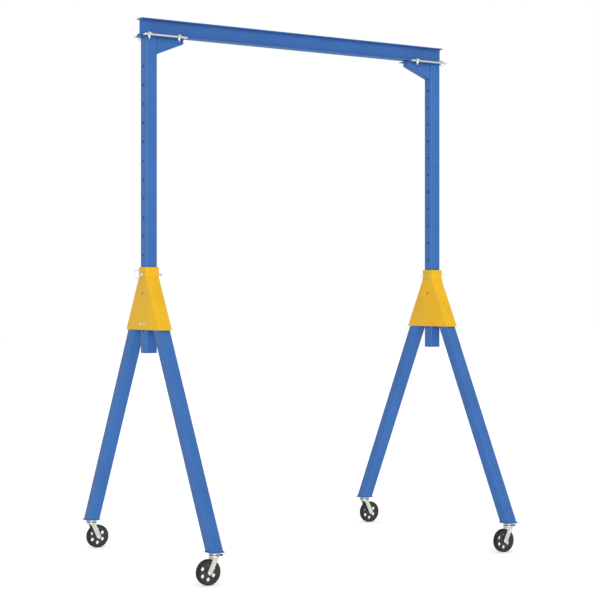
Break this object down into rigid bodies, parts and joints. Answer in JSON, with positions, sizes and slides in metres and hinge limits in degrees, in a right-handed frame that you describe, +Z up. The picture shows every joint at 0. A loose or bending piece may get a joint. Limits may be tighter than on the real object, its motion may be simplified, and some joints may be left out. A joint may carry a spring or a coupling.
{
  "type": "portable gantry crane",
  "caption": "Height-adjustable rolling gantry crane: an I-beam on two telescoping posts, each locked by a pin in a flared shoe on splayed legs with swivel casters.",
  "frame": {"origin": "on the floor, midway between the two A-frames and under the middle of the beam", "axes": "+X along the beam, +Y across it towards the far legs, +Z up"},
  "size_m": [3.1866, 2.2224, 4.4012],
  "materials": {
    "blue_paint": "satin blue enamel over steel",
    "yellow_paint": "satin safety-yellow enamel over steel",
    "zinc_plate": "bright zinc plating",
    "wheel_polymer": "moulded black polymer, slightly satin"
  },
  "bodies": {
    "base": {"left_shoe": "yellow_paint", "left_near_leg": "blue_paint", "left_near_set_bolt": "zinc_plate", "left_near_upper_race": "zinc_plate", "left_near_kingpin": "zinc_plate", "left_far_leg": "blue_paint", "left_far_set_bolt": "zinc_plate", "left_far_upper_race": "zinc_plate", "left_far_kingpin": "zinc_plate", "right_shoe": "yellow_paint", "right_near_leg": "blue_paint", "right_near_set_bolt": "zinc_plate", "right_near_upper_race": "zinc_plate", "right_near_kingpin": "zinc_plate", "right_far_leg": "blue_paint", "right_far_set_bolt": "zinc_plate", "right_far_upper_race": "zinc_plate", "right_far_kingpin": "zinc_plate"},
    "upper_frame": {"i_beam": "blue_paint", "left_post": "blue_paint", "left_bracket_arm": "blue_paint", "left_saddle_plate": "zinc_plate", "left_inner_near_cleat": "zinc_plate", "left_inner_near_clamp_bolt": "zinc_plate", "left_inner_far_cleat": "zinc_plate", "left_inner_far_clamp_bolt": "zinc_plate", "left_outer_near_cleat": "zinc_plate", "left_outer_near_clamp_bolt": "zinc_plate", "left_outer_far_cleat": "zinc_plate", "left_outer_far_clamp_bolt": "zinc_plate", "right_post": "blue_paint", "right_bracket_arm": "blue_paint", "right_saddle_plate": "zinc_plate", "right_inner_near_cleat": "zinc_plate", "right_inner_near_clamp_bolt": "zinc_plate", "right_inner_far_cleat": "zinc_plate", "right_inner_far_clamp_bolt": "zinc_plate", "right_outer_near_cleat": "zinc_plate", "right_outer_near_clamp_bolt": "zinc_plate", "right_outer_far_cleat": "zinc_plate", "right_outer_far_clamp_bolt": "zinc_plate"},
    "left_pin": {"left_lock_pin": "zinc_plate", "left_pin_ring": "zinc_plate"},
    "right_pin": {"right_lock_pin": "zinc_plate", "right_pin_ring": "zinc_plate"},
    "left_near_caster_fork": {"left_near_fork": "zinc_plate", "left_near_axle_bolt": "zinc_plate", "left_near_brake_pedal": "wheel_polymer"},
    "left_near_caster_wheel": {"left_near_wheel": "wheel_polymer"},
    "left_far_caster_fork": {"left_far_fork": "zinc_plate", "left_far_axle_bolt": "zinc_plate"},
    "left_far_caster_wheel": {"left_far_wheel": "wheel_polymer"},
    "right_near_caster_fork": {"right_near_fork": "zinc_plate", "right_near_axle_bolt": "zinc_plate", "right_near_brake_pedal": "wheel_polymer"},
    "right_near_caster_wheel": {"right_near_wheel": "wheel_polymer"},
    "right_far_caster_fork": {"right_far_fork": "zinc_plate", "right_far_axle_bolt": "zinc_plate"},
    "right_far_caster_wheel": {"right_far_wheel": "wheel_polymer"}
  },
  "joints": [
    {"name": "height_slide", "type": "slide", "parent": "base", "child": "upper_frame", "axis": [0, 0, 1], "range_m": [-1.6764, 0.1524]},
    {"name": "left_pin_pull", "type": "slide", "parent": "base", "child": "left_pin", "axis": [-1, 0, 0], "range_m": [0, 0.19]},
    {"name": "right_pin_pull", "type": "slide", "parent": "base", "child": "right_pin", "axis": [1, 0, 0], "range_m": [0, 0.19]},
    {"name": "left_near_swivel", "type": "hinge", "parent": "base", "child": "left_near_caster_fork", "pos_m": [-1.4397, -1.054, 0.22], "axis": [0, 0, 1], "continuous": true},
    {"name": "left_near_roll", "type": "hinge", "parent": "left_near_caster_fork", "child": "left_near_caster_wheel", "pos_m": [-1.4953, -1.054, 0.098], "axis": [0, 1, 0], "continuous": true},
    {"name": "left_far_swivel", "type": "hinge", "parent": "base", "child": "left_far_caster_fork", "pos_m": [-1.4397, 1.054, 0.22], "axis": [0, 0, 1], "continuous": true},
    {"name": "left_far_roll", "type": "hinge", "parent": "left_far_caster_fork", "child": "left_far_caster_wheel", "pos_m": [-1.3841, 1.054, 0.098], "axis": [0, 1, 0], "continuous": true},
    {"name": "right_near_swivel", "type": "hinge", "parent": "base", "child": "right_near_caster_fork", "pos_m": [1.4397, -1.054, 0.22], "axis": [0, 0, 1], "continuous": true},
    {"name": "right_near_roll", "type": "hinge", "parent": "right_near_caster_fork", "child": "right_near_caster_wheel", "pos_m": [1.3841, -1.054, 0.098], "axis": [0, 1, 0], "continuous": true},
    {"name": "right_far_swivel", "type": "hinge", "parent": "base", "child": "right_far_caster_fork", "pos_m": [1.4397, 1.054, 0.22], "axis": [0, 0, 1], "continuous": true},
    {"name": "right_far_roll", "type": "hinge", "parent": "right_far_caster_fork", "child": "right_far_caster_wheel", "pos_m": [1.4953, 1.054, 0.098], "axis": [0, 1, 0], "continuous": true}
  ]
}
